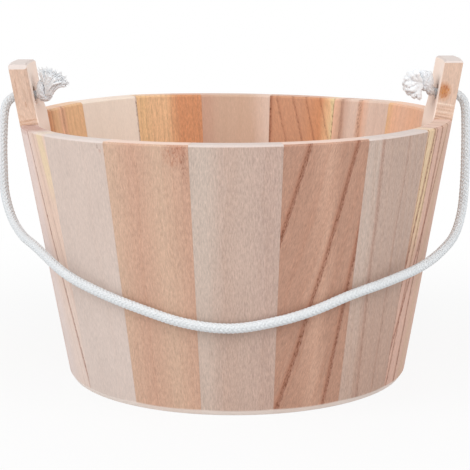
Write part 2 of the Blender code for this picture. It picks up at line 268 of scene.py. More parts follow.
class Nodes:
    """A node tree under construction, for a material or for geometry."""

    def __init__(self, tree):
        self.tree = tree

    def add(self, kind, settings=None, values=None, output=0):
        """Add one node: its settings first, then its sockets, and give one of its outputs."""
        node = self.tree.nodes.new(kind)
        for name, value in (settings or {}).items():
            if name == "stops":
                self.set_stops(node.color_ramp, value)
            else:
                setattr(node, name, value)
        self.fill(node, values or {})
        return Socket(self, node.outputs[output])

    def fill(self, node, values):
        """Link or set a node's sockets."""
        for name, value in values.items():
            if isinstance(value, Socket):
                self.tree.links.new(value.output, node.inputs[name])
            else:
                node.inputs[name].default_value = value

    def set_stops(self, ramp, stops):
        while len(ramp.elements) > 1:
            ramp.elements.remove(ramp.elements[-1])
        ramp.elements[0].position, ramp.elements[0].color = stops[0]
        for position, colour in stops[1:]:
            ramp.elements.new(position).color = colour

    def maths(self, operation, *numbers):
        return self.add("ShaderNodeMath", {"operation": operation}, dict(enumerate(numbers)))

    def vector(self, operation, *vectors, **others):
        values = {**dict(enumerate(vectors)), **others}
        return self.add("ShaderNodeVectorMath", {"operation": operation}, values)

    def scaled(self, vector, factor):
        return self.vector("SCALE", vector, Scale=factor)

    def combine(self, x, y, z):
        return self.add("ShaderNodeCombineXYZ", None, {"X": x, "Y": y, "Z": z})

    def split(self, vector):
        first = self.add("ShaderNodeSeparateXYZ", None, {"Vector": vector})
        return first, first.other("Y"), first.other("Z")

    def smooth(self, value, low, high):
        """0 below low, 1 above high and an eased step between."""
        settings = {"interpolation_type": "SMOOTHSTEP"}
        return self.add("ShaderNodeMapRange", settings, {"Value": value, "From Min": low, "From Max": high})

    def fade(self, value, low, high):
        """1 below low, 0 above high and an eased step between."""
        return 1 - self.smooth(value, low, high)

    def near(self, value, centre, reach):
        """1 where the value is at the centre, easing to 0 at its reach on both sides."""
        return self.fade(self.maths("ABSOLUTE", value - centre), 0, reach)

    def noise(self, vector, scale=1.0, detail=2.0, roughness=0.5):
        return self.add(
            "ShaderNodeTexNoise", None,
            {"Vector": vector, "Scale": scale, "Detail": detail, "Roughness": roughness})

    def mix(self, share, first, second):
        return self.add("ShaderNodeMix", {"data_type": "RGBA"}, {0: share, 6: first, 7: second}, 2)

    def bump(self, height, strength, distance):
        return self.add(
            "ShaderNodeBump", None, {"Strength": strength, "Distance": distance, "Height": height})

    def store(self, geometry, name, value, kind="FLOAT"):
        """Keep a value on each point of a geometry."""
        return self.add("GeometryNodeStoreNamedAttribute", {"data_type": kind, "domain": "POINT"}, {
            "Geometry": geometry, "Name": name, "Value": value})

    def stored(self, name, kind="FLOAT"):
        return self.add("GeometryNodeInputNamedAttribute", {"data_type": kind}, {"Name": name})

    def resampled(self, curve, **spacing):
        """The curve with even points, by their Count or by the Length between them."""
        mode = "COUNT" if "Count" in spacing else "LENGTH"
        return self.add("GeometryNodeResampleCurve", {"mode": mode}, {"Curve": curve, **spacing})

    def copies(self, curve, amount):
        return self.add("GeometryNodeDuplicateElements", {"domain": "SPLINE"}, {
            "Geometry": curve, "Amount": amount})

    def total(self, first, *others):
        """The sum of vectors."""
        for vector in others:
            first = self.vector("ADD", first, vector)
        return first

    def swept(self, curve, section, scale=1.0):
        """A closed mesh along a curve."""
        return self.add("GeometryNodeCurveToMesh", None, {
            "Curve": curve, "Profile Curve": section, "Scale": scale, "Fill Caps": True})

    def join(self, *parts):
        joined = self.add("GeometryNodeJoinGeometry")
        for part in parts:
            self.tree.links.new(part.output, joined.output.node.inputs[0])
        return joined


def linear(code):
    """A linear colour from a tint's hexadecimal code."""
    channels = [int(code[start:start + 2], 16) / 255 for start in (1, 3, 5)]
    return (*[c / 12.92 if c <= 0.04045 else ((c + 0.055) / 1.055) ** 2.4 for c in channels], 1.0)


def new_material(name):
    """A material with only its Principled shader, and the nodes to build on."""
    material = bpy.data.materials.new(name)
    material.use_nodes = True
    return material, material.node_tree.nodes["Principled BSDF"], Nodes(material.node_tree)


# Wood

TINTS = {
    "ash": "#C3B1A5", "grey_pink": "#CCBAB0", "pale_pink": "#DFCBC4", "rosy": "#C0A89B",
    "fawn": "#BDA498", "dun": "#B8A093", "blush": "#DDC2B2", "cream": "#EBDBCC",
    "tan": "#C9A993", "salmon": "#C49D88", "clay": "#B38B77", "peach": "#E8BCA1",
    "apricot": "#ECBB9B", "orange": "#CF9169", "amber": "#E4B98F", "yellow": "#E0CCA0",
    "honey": "#E3BB8D", "russet": "#C79374", "flesh": "#D0AC9C", "end_heart": "#EDD5C8",
    "brown": "#A87C62", "red_brown": "#A8694F", "dark": "#75432F", "end_grain": "#D8CDC8",
    # foot is the pale foot edge, partly painted highlight; planed is painted light for the posts' shaded
    # inner faces
    "foot": "#F0E4DC", "planed": "#FCEBDF", "knot": "#BE7A3E",
}

# How fast each noise changes across, inwards and along the grain
DRIFT_SCALE = (0.045, 0.045, 0.017)
SPREAD_SCALE = (0.22, 0.22, 0.02)
FIBRE_SCALE = (2.4, 2.4, 0.40)
DASH_SCALE = (1.4, 1.4, 0.30)
DOT_SCALE = (1.5, 1.5, 0.55)
CLOUD_SCALE = (0.09, 0.09, 0.03)
SPECKLE_STEP = (0.50, 0.62)

# How far one seed's wood lies from the next, for the block and for its grain
BLOCK_SHIFT = (17.3, 41.7, 173.0)
GRAIN_SHIFT = (31.0, 0.0, 57.0)

# How far the noise moves tones, bands, lines and rings
TONE_REACH = 32.0
TONE_SPREAD = 7.0
BAND_DRIFT = 2.0
LINE_DRIFT = 3.0
LINE_RAGGED = 2.4
RING_WAVER = 0.9

# Shares of a year's ring, a band's half width and a streak's width where each part of it lies
LATE_WOOD = (0.40, 0.90)
YEAR_END = (0.92, 1.0)
BAND_CORE = 0.55
STREAK_HALO = (-0.30, 0.9)
STREAK_CORE = (0.18, 0.58)

# How strongly a streak's halo and the fine grain show
HALO_STRENGTH = 0.42
DASH_CONTRAST = 2.0
FIBRE_CONTRAST = 1.2

# What is left of a stain where the wood has no speckle, of the specks between late wood and of a weak year
STREAK_LEAST = 0.35
MARK_LEAST = 0.3
SIDE_MARK_LEAST = 0.5
TOP_MARK_LEAST = 0.6
SPECK_LEAST = 0.4
YEAR_LEAST = 0.25

# Shares of an oval mark where it is full
MARK_CORE = 0.05
TOP_MARK_CORE = 0.1

# How much fibres and dashes raise the surface, and rings lower it
FIBRE_RISE = 0.6
DASH_RISE = 0.4
RING_SINK = 0.25

# Twice the wall's mean radius, for how far its curved faces lie inwards at their edges
WALL_CURVE = 256.0

# Depths from the outer face, and heights, between which a mask eases in or out
FACE_DEPTHS = (1.5, 3.0)
INSIDE_DEPTHS = (8.0, 10.0)
# The inner-face depths and heights mask the painted light on each post's inner face
INNER_FACE_DEPTHS = (10.9, 11.7)
INNER_PAINTED_LIGHT_HEIGHTS = (150.0, 166.0)
LOW_HEIGHTS = (20.0, 125.0)
FOOT_HEIGHTS = (2.6, 4.0)
PALE_RISE = 3.0
SIDE_DEPTHS = (3.0, 0.5)

# What a look says, with places across, inwards and along from the middle of the stave's outer foot.
# tones: place across and tint. lean, wander: how the grain leans with height, and how far it strays.
# pith, ring_gap, ring_strength, ring_tint: where the rings have their middle (across, inwards), how far
# apart they are and how they show, and rings_end the heights between which they fade out.
# fibre, specks, mottle: how strongly the fine grain, the dots and the clouds show.
# streaks, and inner_streaks on the inner face: place at the foot, lean, width, strength.
# bands: place at the foot, lean, half width, heights where it starts and is full, tint, strength.
# marks on the outer face: across, along, half sizes, tint, strength.
# side_marks on a post: edge across, inwards, along, half sizes, tint, strength.
# top_marks on end grain: across, inwards, half sizes, tint, strength. low: tint and strength near the foot.
# paling, end_tint, end_slope, pale_from: how far the ends turn to which tint, from which slope and height.
# foot_paling_and_highlight, inner_painted_light: the same for the foot's edge, which is partly a pale sanded
# bevel and partly painted highlight, and for painted light that lifts the shade on the inner face of a post.
PLAIN_LOOK = dict(
    lean=0.0,
    wander=3.0,
    ring_tint="brown",
    streaks=(),
    inner_streaks=(),
    bands=(),
    marks=(),
    side_marks=(),
    top_marks=(),
    inner_painted_light=0.0,
    low=("clay", 0.0),
    rings_end=(400.0, 500.0),
    specks=0.0,
    mottle=0.10,
    paling=0.74,
    foot_paling_and_highlight=0.85,
    pale_from=-10.0,
    end_slope=(0.80, 0.93),
    end_tint="end_heart",
)
END_PALING = {"front": 0.74, "back": 0.35}
FIRST_SEED = {"front": 0, "back": 10, "ear": 30, "board": 40}
PALE_ENDS = dict(end_slope=(0.30, 0.75), end_tint="end_grain")

# Growth lines and tones of each stave, seen from outside on the front ones
FRONT_LOOKS = {
    1: dict(
        **PALE_ENDS,
        tones=((-26, "pale_pink"), (-6, "pale_pink"), (10, "blush"), (24, "blush")),
        lean=-0.15, pith=(90.0, 10.0), ring_gap=4.0, ring_strength=0.20,
        fibre=0.25, paling=0.55, low=("end_grain", 0.5),
        streaks=((23.2, -0.145, 2.2, 0.8), (-15.0, -0.05, 2.0, 0.5), (33.0, -0.14, 1.6, 0.3)),
        bands=((36.4, -0.10, 5.5, 118.0, 150.0, "yellow", 0.55),),
        top_marks=((-10.0, 6.0, 26.0, 11.0, "red_brown", 0.8), (-25.0, 9.5, 3.0, 4.5, "dark", 1.0)),
        marks=((-14.0, 167.2, 18.0, 2.4, "red_brown", 0.45),),
    ),
    2: dict(
        **PALE_ENDS,
        tones=((-24, "grey_pink"), (0, "grey_pink"), (24, "grey_pink")),
        pith=(120.0, 60.0), ring_gap=7.0, ring_strength=0.04, fibre=0.26, low=("end_grain", 0.25),
        marks=((22.8, 167.2, 1.0, 1.6, "dark", 0.85), (24.3, 164.4, 1.0, 1.7, "red_brown", 0.9)),
    ),
    3: dict(
        tones=((-24, "tan"), (-8, "salmon"), (8, "tan"), (24, "salmon")),
        pith=(-80.0, 55.0), ring_gap=4.0, ring_strength=0.10, fibre=0.40, specks=0.22,
        marks=(
            (19.0, 165.0, 9.0, 9.0, "red_brown", 0.65), (25.0, 158.0, 3.5, 18.0, "dark", 0.7),
            (23.0, 168.0, 7.0, 4.0, "red_brown", 0.6)),
    ),
    4: dict(
        **PALE_ENDS,
        tones=((-26, "ash"), (-18, "ash"), (-8, "rosy"), (6, "rosy"), (17, "fawn"), (26, "fawn")),
        pith=(30.0, 140.0), ring_gap=5.0, ring_strength=0.10, fibre=0.42,
        specks=0.08, mottle=0.16, low=("clay", 0.12), paling=0.68,
    ),
    5: dict(
        tones=((-26, "clay"), (-10, "clay"), (2, "salmon"), (10, "clay"), (26, "clay")),
        lean=0.22, pith=(-110.0, 30.0), ring_gap=9.0, ring_strength=0.12, ring_tint="red_brown",
        fibre=0.45, specks=0.25,
        streaks=((-53.1, 0.245, 3.4, 0.95), (-20.5, 0.2395, 3.4, 0.95), (9.6, 0.146, 3.0, 0.95)),
    ),
    6: dict(
        **PALE_ENDS,
        tones=((-26, "fawn"), (-10, "dun"), (26, "dun")), low=("clay", 0.35),
        lean=-0.06, pith=(-90.0, 60.0), ring_gap=5.0, ring_strength=0.16, fibre=0.42,
        bands=((-16.5, -0.033, 6.5, -20.0, -10.0, "ash", 0.7),),
        streaks=((7.5, 0.0, 1.6, 0.3), (-7.0, -0.05, 2.4, 0.35)),
    ),
    7: dict(
        tones=((-26, "flesh"), (-8, "flesh"), (6, "tan"), (20, "flesh")),
        lean=0.05, pith=(-90.0, 20.0), ring_gap=3.0, ring_strength=0.25, ring_tint="red_brown",
        fibre=0.35, paling=0.40,
        bands=((-15.5, -0.032, 7.5, 70.0, 125.0, "yellow", 0.6),),
        streaks=(
            (-29.2, 0.077, 2.6, 0.95), (-8.0, 0.030, 2.6, 0.95), (-29.0, 0.225, 2.4, 0.9),
            (-19.5, 0.04, 2.2, 0.7), (-22.0, -0.02, 1.6, 0.7)),
    ),
}

# The back staves show their inside over the front rim, where right in the photo is minus across
BACK_LOOKS = {
    1: dict(
        tones=((-22, "amber"), (-6, "amber"), (2, "apricot"), (9, "amber"), (24, "orange")),
        pith=(70.0, 10.0), ring_gap=5.0, ring_strength=0.28, ring_tint="red_brown", fibre=0.3,
        streaks=((-2.5, 0.02, 4.0, 0.45), (14.0, 0.02, 1.6, 0.4), (19.0, 0.02, 1.6, 0.4)),
    ),
    2: dict(
        tones=((-24, "cream"), (24, "cream")),
        pith=(60.0, 120.0), ring_gap=8.0, ring_strength=0.05, fibre=0.12,
        inner_streaks=((-19.5, -0.0335, 2.6, 0.8),),
    ),
    3: dict(
        tones=((-23, "orange"), (-8, "orange"), (2, "amber"), (13, "amber"), (19, "honey")),
        pith=(-60.0, 40.0), ring_gap=3.6, ring_strength=0.35, fibre=0.45, specks=0.15,
    ),
    4: dict(
        tones=((-23, "blush"), (-10, "tan"), (10, "tan"), (22, "salmon")),
        pith=(70.0, 120.0), ring_gap=6.0, ring_strength=0.10, fibre=0.16,
    ),
    5: dict(
        tones=((-24, "yellow"), (-20, "amber"), (-14, "orange"), (2, "russet"), (22, "russet")),
        lean=0.27, pith=(-160.0, 30.0), ring_gap=5.0, ring_strength=0.12, ring_tint="red_brown",
        fibre=0.3,
        streaks=(
            (-25.4, 0.27, 1.7, 0.45), (-37.4, 0.27, 1.8, 0.55), (-47.5, 0.27, 1.7, 0.5),
            (-58.5, 0.27, 1.7, 0.45)),
        inner_streaks=((-19.4, -0.0335, 2.2, 0.8), (18.6, 0.0335, 2.6, 0.95)),
    ),
    6: dict(
        tones=(
            (-25, "blush"), (-6, "blush"), (1, "peach"), (6, "blush"), (12, "blush"), (19, "salmon"),
            (24, "peach")),
        pith=(80.0, 60.0), ring_gap=7.0, ring_strength=0.10, fibre=0.2,
        streaks=((-0.5, 0.02, 4.6, 0.5), (15.0, 0.02, 3.0, 0.35)),
    ),
    7: dict(
        tones=((-24, "peach"), (-8, "apricot"), (8, "peach"), (18, "apricot"), (24, "amber")),
        pith=(90.0, 30.0), ring_gap=6.0, ring_strength=0.12, ring_tint="red_brown", fibre=0.25,
    ),
}

# The side of each post that faces the front lies at plus across on the left ear, minus on the right
EAR_LOOKS = {
    "left": dict(
        **PALE_ENDS,
        tones=((-24, "blush"), (-8, "blush"), (8, "blush"), (13, "blush"), (28, "tan")),
        pith=(120.0, -20.0), ring_gap=2.0, ring_strength=0.26, fibre=0.34,
        wander=4.0, pale_from=199.0, paling=0.95, inner_painted_light=0.90,
        side_marks=(
            (21.5, 7.0, 170.4, 9.0, 0.8, "brown", 0.8), (21.5, 6.0, 168.6, 9.0, 0.6, "red_brown", 0.4),
            (21.5, 8.0, 180.5, 0.9, 2.4, "brown", 0.7), (21.5, 4.0, 193.0, 0.6, 7.0, "red_brown", 0.4)),
    ),
    "right": dict(
        **PALE_ENDS,
        tones=((-29, "tan"), (-13, "blush"), (-4, "blush"), (10, "blush"), (24, "tan")),
        pith=(-170.0, 5.0), ring_gap=1.5, ring_strength=0.22, fibre=0.28,
        wander=2.0, rings_end=(178.0, 184.0), pale_from=199.0, paling=0.95, inner_painted_light=0.95,
        side_marks=(
            (-21.5, 10.4, 187.4, 5.8, 7.4, "knot", 1.0), (-21.5, 10.4, 187.4, 3.8, 5.0, "knot", 1.0),
            # The thin dark mark at the inner edge is painted shadow along the post's inner edge
            (-21.5, 13.4, 186.0, 0.8, 7.0, "dark", 0.9),
            (-21.5, 9.6, 190.0, 2.0, 2.2, "red_brown", 0.7), (-21.5, 9.4, 185.0, 1.8, 2.0, "red_brown", 0.7),
            (-21.5, 9.0, 179.4, 12.0, 0.7, "cream", 0.8), (-21.5, 7.0, 177.6, 12.0, 0.6, "brown", 0.35),
            (-21.5, 9.0, 175.8, 12.0, 0.6, "brown", 0.4), (-21.5, 7.0, 174.4, 12.0, 0.5, "cream", 0.5),
            (-21.5, 9.0, 173.0, 12.0, 0.5, "brown", 0.45), (-21.5, 10.0, 171.2, 10.0, 0.7, "dark", 0.65),
            (-21.5, 7.0, 169.8, 12.0, 0.5, "brown", 0.5)),
    ),
}


def grain_placing(angle):
    """From object coordinates to a stave's own millimetres: across, inwards and along it."""
    across = Vector((-sin(angle), cos(angle), 0))
    inwards = Vector((-cos(LEAN) * cos(angle), -cos(LEAN) * sin(angle), sin(LEAN)))
    turn = Matrix((across, inwards, across.cross(inwards)))
    foot = Vector((FOOT_RADIUS * cos(angle), FOOT_RADIUS * sin(angle), 0))
    return turn, -(turn @ foot)


class Wood:
    """Planed softwood as a solid block of growth rings, so that faces, edges and ends agree."""

    def __init__(self, nodes, placing, look):
        self.nodes = nodes
        self.look = look
        self.turn, shift = placing
        place = nodes.add("ShaderNodeMapping", {"vector_type": "POINT"}, {
            "Vector": nodes.add("ShaderNodeTexCoord", output="Object"), "Location": shift * MILLIMETRES,
            "Rotation": self.turn.to_euler(), "Scale": (MILLIMETRES,) * 3})
        self.across, self.inwards, self.along = nodes.split(place)
        self.block = self.moved(place, BLOCK_SHIFT)
        self.drift = self.noise(self.block, DRIFT_SCALE)
        grain = self.across - self.along * look["lean"] + (self.drift - 0.5) * (2 * look["wander"])
        grain_point = self.moved(nodes.combine(grain, self.inwards, self.along), GRAIN_SHIFT)
        self.spread = self.noise(grain_point, SPREAD_SCALE)
        self.fibres = self.noise(grain_point, FIBRE_SCALE, detail=3, roughness=0.6)
        self.dashes = self.noise(grain_point, DASH_SCALE, detail=4, roughness=0.65)
        self.speckle = nodes.smooth(self.noise(grain_point, DOT_SCALE), *SPECKLE_STEP)
        self.from_outside = self.inwards - self.across * self.across / WALL_CURVE
        self.rings = self.growth_rings(grain)
        self.colour = self.tones()

    def moved(self, point, shift):
        """The point, moved to where this look's seed has its own wood."""
        return self.nodes.vector("ADD", point, tuple(self.look["seed"] * step for step in shift))

    def noise(self, point, scale, detail=2, roughness=0.5):
        return self.nodes.noise(
            self.nodes.vector("MULTIPLY", point, scale), detail=detail, roughness=roughness)

    def growth_rings(self, grain):
        """Late wood, which darkens slowly through a year and ends sharply; years differ in strength."""
        nodes = self.nodes
        pith_across, pith_inwards = self.look["pith"]
        sideways = grain - pith_across
        deeper = self.inwards - pith_inwards
        radius = nodes.maths("SQRT", sideways * sideways + deeper * deeper)
        phase = radius / self.look["ring_gap"] + (self.spread - 0.5) * RING_WAVER
        share = nodes.maths("FRACT", phase)
        number = nodes.maths("FLOOR", phase) + self.look["seed"]
        year = nodes.add("ShaderNodeTexWhiteNoise", {"noise_dimensions": "1D"}, {"W": number})
        late = nodes.smooth(share, *LATE_WOOD) * nodes.fade(share, *YEAR_END)
        return late * year.at_least(YEAR_LEAST) * nodes.fade(self.along, *self.look["rings_end"])

    def tones(self):
        """The tones across the stave, whose borders drift with the grain."""
        stops = []
        for place, tint in self.look["tones"]:
            stops.append(((place + TONE_REACH) / (2 * TONE_REACH), linear(TINTS[tint])))
        place = self.across + (self.drift - 0.5) * self.look["wander"] + (self.spread - 0.5) * TONE_SPREAD
        share = (place + TONE_REACH) / (2 * TONE_REACH)
        return self.nodes.add("ShaderNodeValToRGB", {"stops": stops}, {"Fac": share})

    def stain(self, share, tint):
        """Lay a share of a tint over the colour so far."""
        self.colour = self.nodes.mix(share, self.colour, linear(TINTS[tint]))

    def off_line(self, at_foot, lean, drift):
        """How far across a point lies from a line up the stave."""
        return self.across - at_foot - self.along * lean + (self.drift - 0.5) * drift

    def spot(self, value, centre, half, other, middle, reach, core=MARK_CORE):
        """1 in the core of an oval, easing to 0 at its edge."""
        return self.nodes.fade(((value - centre) / half) ** 2 + ((other - middle) / reach) ** 2, core, 1.0)

    def add_bands(self):
        for at_foot, lean, half, low, high, tint, strength in self.look["bands"]:
            distance = self.nodes.maths("ABSOLUTE", self.off_line(at_foot, lean, BAND_DRIFT))
            band = self.nodes.fade(distance, BAND_CORE * half, half)
            self.stain(band * self.nodes.smooth(self.along, low, high) * strength, tint)
        tint, strength = self.look["low"]
        self.stain(self.nodes.fade(self.along, *LOW_HEIGHTS) * strength, tint)

    def add_streaks(self):
        """Dark lines, broken by speckles, each with a soft brown halo."""
        nodes = self.nodes
        inside = nodes.smooth(self.from_outside, *INSIDE_DEPTHS)
        streaks = [(line, 1.0) for line in self.look["streaks"]]
        streaks += [(line, inside) for line in self.look["inner_streaks"]]
        for (at_foot, lean, width, strength), share in streaks:
            line = self.off_line(at_foot, lean, LINE_DRIFT) + (self.dashes - 0.5) * LINE_RAGGED
            halo = nodes.near(line, *(place * width for place in STREAK_HALO))
            self.stain(halo * (HALO_STRENGTH * strength) * share, "red_brown")
            core = nodes.fade(nodes.maths("ABSOLUTE", line), *(place * width for place in STREAK_CORE))
            self.stain(core * self.speckle.at_least(STREAK_LEAST) * strength * share, "dark")

    def add_marks(self):
        """Oval stains on the outer face and on a post's sides."""
        on_face = self.nodes.fade(self.inwards, *FACE_DEPTHS)
        for centre, height, half_width, half_height, tint, strength in self.look["marks"]:
            mark = self.spot(self.across, centre, half_width, self.along, height, half_height) * on_face
            self.stain(mark * self.speckle.at_least(MARK_LEAST) * strength, tint)
        for edge, depth, height, half_depth, half_height, tint, strength in self.look["side_marks"]:
            outwards = self.across * (1 if edge > 0 else -1)
            on_side = self.nodes.smooth(outwards, *(abs(edge) - inset for inset in SIDE_DEPTHS))
            mark = self.spot(self.inwards, depth, half_depth, self.along, height, half_height) * on_side
            self.stain(mark * self.speckle.at_least(SIDE_MARK_LEAST) * strength, tint)

    def add_fibres(self):
        """Specks, and the light and dark of fibres and clouds."""
        if self.look["specks"]:
            self.stain(self.speckle * self.rings.at_least(SPECK_LEAST) * self.look["specks"], "brown")
        cloud = self.noise(self.block, CLOUD_SCALE, detail=3)
        texture = (self.dashes - 0.5) * DASH_CONTRAST + (self.fibres - 0.5) * FIBRE_CONTRAST
        light = 1 + texture * self.look["fibre"] + (cloud - 0.5) * self.look["mottle"]
        self.colour = self.nodes.scaled(self.colour, light)

    def add_pale_ends_and_painted_light(self):
        """Paler wood on end grain, painted light that lifts the shade on the inner face of a post, and a pale
        foot edge that is partly its sanded bevel and partly painted highlight.
        """
        nodes = self.nodes
        facing = nodes.add("ShaderNodeTexCoord", output="Normal")
        tilt = nodes.maths("ABSOLUTE", nodes.vector("DOT_PRODUCT", facing, self.turn[2]).other("Value"))
        on_end = nodes.smooth(tilt, *self.look["end_slope"])
        # Painted light: the planed tint lifts the shade on the post's inner face above the rim
        inner = nodes.smooth(self.from_outside, *INNER_FACE_DEPTHS)
        inner = inner * nodes.smooth(self.along, *INNER_PAINTED_LIGHT_HEIGHTS)
        self.stain(inner * self.look["inner_painted_light"], "planed")
        pale_from = self.look["pale_from"]
        ends = on_end * nodes.smooth(self.along, pale_from - PALE_RISE, pale_from)
        self.stain(ends * self.look["paling"], self.look["end_tint"])
        for centre, depth, half_width, half_depth, tint, strength in self.look["top_marks"]:
            mark = self.spot(
                self.across, centre, half_width, self.inwards, depth, half_depth, TOP_MARK_CORE) * on_end
            self.stain(mark * self.speckle.at_least(TOP_MARK_LEAST) * strength, tint)
        # Partly painted highlight: the foot's edge is paled for its sanded bevel and for light from the white
        # floor
        self.stain(nodes.fade(self.along, *FOOT_HEIGHTS) * self.look["foot_paling_and_highlight"], "foot")


def wood_material(name, placing, changes):
    """The wood of one piece; the changes say how it departs from the plain look."""
    material, shader, nodes = new_material(name)
    wood = Wood(nodes, placing, {**PLAIN_LOOK, **changes})
    wood.add_bands()
    wood.stain(wood.rings * wood.look["ring_strength"], wood.look["ring_tint"])
    wood.add_streaks()
    wood.add_marks()
    wood.add_fibres()
    wood.add_pale_ends_and_painted_light()
    height = wood.fibres * FIBRE_RISE + wood.dashes * DASH_RISE - wood.rings * RING_SINK
    nodes.fill(shader, {
        "Base Color": wood.colour,
        "Roughness": 0.60 + (wood.fibres - 0.5) * 0.2,
        "Normal": nodes.bump(height, strength=0.4, distance=0.0003),
        "Specular IOR Level": 0.25,
    })
    return material


# Staves


def outer_radius(height):
    return FOOT_RADIUS + TAPER * height


def inner_radius(height):
    return outer_radius(height) - WALL


def rim_dip(angle):
    """How much lower than planned the rim stands at the joint nearest to an angle."""
    joint = round(angle / STAVE_ANGLE - 0.5) % len(RIM_DIPS)
    return RIM_DIPS[joint] / MILLIMETRES


def wall_profile(top):
    """The wall cut through its middle, as radius and height, up the outside and down the inside."""
    groove_low = BOARD_HEIGHT - BOARD_FIT
    groove_high = BOARD_TOP + BOARD_FIT
    groove_radius = inner_radius(BOARD_HEIGHT) + GROOVE_DEPTH
    return (
        (outer_radius(0) - FOOT_CHAMFER_DEPTH, 0.0),
        (outer_radius(FOOT_CHAMFER_RISE), FOOT_CHAMFER_RISE),
        (outer_radius(top - RIM_CHAMFER), top - RIM_CHAMFER),
        (outer_radius(top) - RIM_CHAMFER, top),
        (inner_radius(top) + RIM_CHAMFER, top),
        (inner_radius(top - RIM_CHAMFER), top - RIM_CHAMFER),
        (inner_radius(groove_high), groove_high),
        (groove_radius, groove_high),
        (groove_radius, groove_low),
        (inner_radius(groove_low), groove_low),
        (inner_radius(0), 0.0),
    )


INPUT_KINDS = {int: "Int", float: "Float", tuple: "Vector"}
ORIGIN = (0.0, 0.0, 0.0)


def geometry_tree(name, inputs):
    """A geometry node tree with named inputs and their defaults, and one input more for its material."""
    tree = bpy.data.node_groups.new(name, "GeometryNodeTree")
    for direction in ("INPUT", "OUTPUT"):
        tree.interface.new_socket("Geometry", in_out=direction, socket_type="NodeSocketGeometry")
    for label, default in inputs.items():
        kind = "NodeSocket" + INPUT_KINDS[type(default)]
        tree.interface.new_socket(label, in_out="INPUT", socket_type=kind).default_value = default
    tree.interface.new_socket("Material", in_out="INPUT", socket_type="NodeSocketMaterial")
    nodes = Nodes(tree)
    entry = nodes.add("NodeGroupInput")
    return nodes, entry, entry.other


def close_tree(nodes, geometry, material):
    """End a tree in plain geometry with one material."""
    smooth = nodes.add("GeometryNodeSetShadeSmooth", None, {"Geometry": geometry})
    real = nodes.add("GeometryNodeRealizeInstances", None, {"Geometry": smooth})
    dressed = nodes.add("GeometryNodeSetMaterial", None, {"Geometry": real, "Material": material})
    nodes.fill(nodes.tree.nodes.new("NodeGroupOutput"), {0: dressed})
    return nodes.tree


def baked(source, name):
    """The source with its modifiers run, as a plain mesh object that takes its place."""
    bpy.context.view_layer.update()
    mesh = bpy.data.meshes.new_from_object(source.evaluated_get(bpy.context.evaluated_depsgraph_get()))
    bpy.data.objects.remove(source, do_unlink=True)
    return new_object(name, mesh)


def grow(name, data, tree, values):
    """Run a tree on new data and return its result as a plain mesh object at the origin."""
    source = new_object(name + "_source", data)
    modifier = source.modifiers.new("shape", "NODES")
    modifier.node_group = tree
    labels = {item.name: item.identifier for item in tree.interface.items_tree if item.in_out == "INPUT"}
    for label, value in values.items():
        modifier[labels[label]] = value
    return baked(source, name)


def stave_tree():
    """One stave: the wall profile with rounded corners, turned through its share of the tub."""
    nodes, entry, given = geometry_tree("turned_stave", {
        "Share": STAVE_ANGLE - JOINT_GAP / RIM_RADIUS, "Foot Radius": FOOT_RADIUS, "Edge Round": EDGE_ROUND,
        "Steps": STAVE_STEPS, "Turn": 0.0, "First Dip": 0.0, "Last Dip": 0.0})
    rounded = nodes.add("GeometryNodeFilletCurve", {"mode": "POLY"}, {
        "Curve": entry, "Count": 4, "Radius": given("Edge Round"), "Limit Radius": True})
    section = nodes.store(rounded, "section", nodes.add("GeometryNodeInputPosition"), "FLOAT_VECTOR")
    line = nodes.add("GeometryNodeCurvePrimitiveLine")
    path = nodes.resampled(line, Count=given("Steps"))
    path = nodes.store(path, "turned", nodes.add("GeometryNodeSplineParameter"))
    swept = nodes.swept(path, section)
    depth, rise, _ = nodes.split(nodes.stored("section", "FLOAT_VECTOR"))
    turned = nodes.stored("turned")
    angle = given("Turn") + (turned - 0.5) * given("Share")
    height = rise * -1.0
    first = given("First Dip")
    drop = (first + (given("Last Dip") - first) * turned) * nodes.smooth(height, *DIP_HEIGHTS)
    radius = given("Foot Radius") + depth - drop * TAPER
    place = nodes.combine(
        nodes.maths("COSINE", angle) * radius, nodes.maths("SINE", angle) * radius, height - drop)
    stave = nodes.add("GeometryNodeSetPosition", None, {"Geometry": swept, "Position": place})
    return close_tree(nodes, stave, given("Material"))


def profile_curve(top):
    """The wall profile as a closed curve, measured from the foot radius, with height running down Y."""
    curve = bpy.data.curves.new("wall_profile", "CURVE")
    curve.dimensions = "2D"
    spline = curve.splines.new("POLY")
    profile = wall_profile(top)
    spline.points.add(len(profile) - 1)
    for point, (radius, height) in zip(spline.points, reversed(profile)):
        point.co = (radius - FOOT_RADIUS, -height, 0, 1)
    spline.use_cyclic_u = True
    return curve


def eased(rough, name, width, limit):
    """The piece with its sharp edges rounded and its wide faces shaded flat."""
    bevel = rough.modifiers.new("eased_edges", "BEVEL")
    bevel.width = width
    bevel.segments = 3
    bevel.limit_method = limit
    bevel.angle_limit = EASED_ANGLE
    weighted = rough.modifiers.new("flat_faces", "WEIGHTED_NORMAL")
    weighted.mode = "FACE_AREA"
    return baked(rough, name)


def turned_stave(name, angle, top, tree, material, dips=(0.0, 0.0)):
    return grow(name, profile_curve(top), tree, {
        "Turn": angle, "First Dip": dips[0], "Last Dip": dips[1], "Material": material})


def dress(piece, body, slot, node):
    """Let a piece stand for a CAD node and ride on its body; the slot is not used."""
    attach(piece, body)
    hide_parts(node)


def give_material(piece, material):
    piece.data.materials.clear()
    piece.data.materials.append(material)


